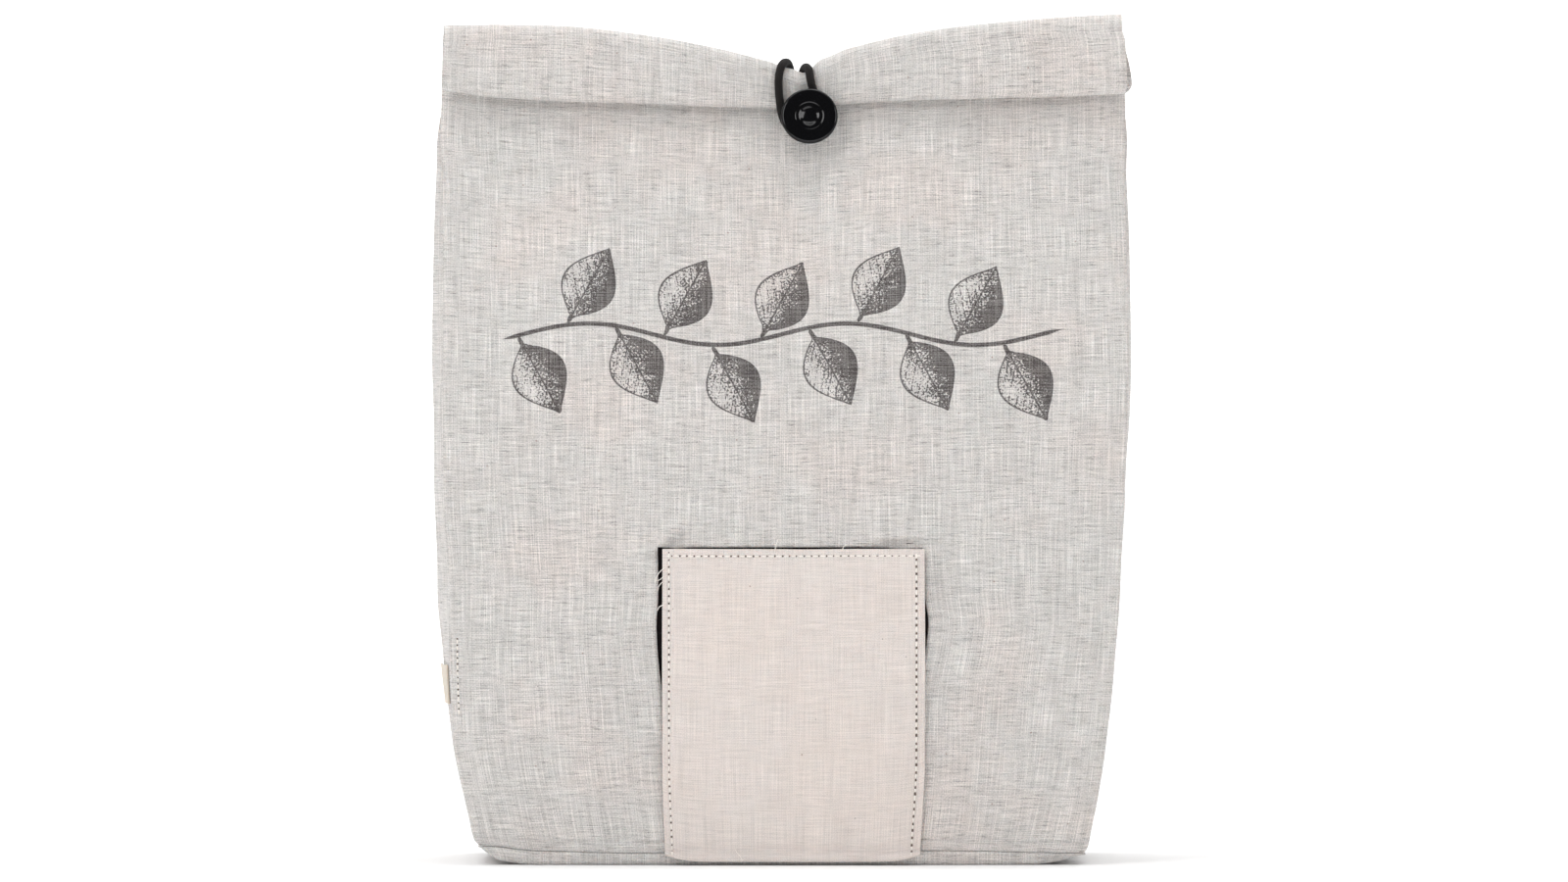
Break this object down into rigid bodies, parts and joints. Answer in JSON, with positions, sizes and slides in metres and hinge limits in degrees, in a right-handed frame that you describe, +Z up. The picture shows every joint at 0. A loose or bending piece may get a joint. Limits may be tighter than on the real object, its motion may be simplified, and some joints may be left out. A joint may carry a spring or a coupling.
{
  "type": "potato storage bag",
  "caption": "Soft upright cloth bag with a roll-top mouth held by an elastic loop and button, and a low front hatch under a flap.",
  "frame": {"origin": "middle of the base's underside, on the surface the bag stands on", "axes": "+Z up, -Y out of the front with the hatch flap and the button, +X to the right seen from the front"},
  "size_m": [0.2607, 0.1078, 0.317],
  "materials": {
    "outer_cloth": "matte, coarse plain weave with slubs",
    "flap_cloth": "matte, fine plain weave",
    "lining": "matte, close black weave",
    "button": "gloss",
    "elastic": "matte braided cover",
    "label": "matte tape"
  },
  "bodies": {
    "root": {"front_panel": "outer_cloth", "back_panel": "outer_cloth", "left_gusset": "outer_cloth", "right_gusset": "outer_cloth", "base_panel": "outer_cloth", "hatch_lining": "lining", "hatch_flap": "flap_cloth", "hatch_fastener": "lining", "closure_button": "button", "elastic_loop": "elastic", "loop_patch": "outer_cloth", "side_label": "label"}
  },
  "joints": []
}
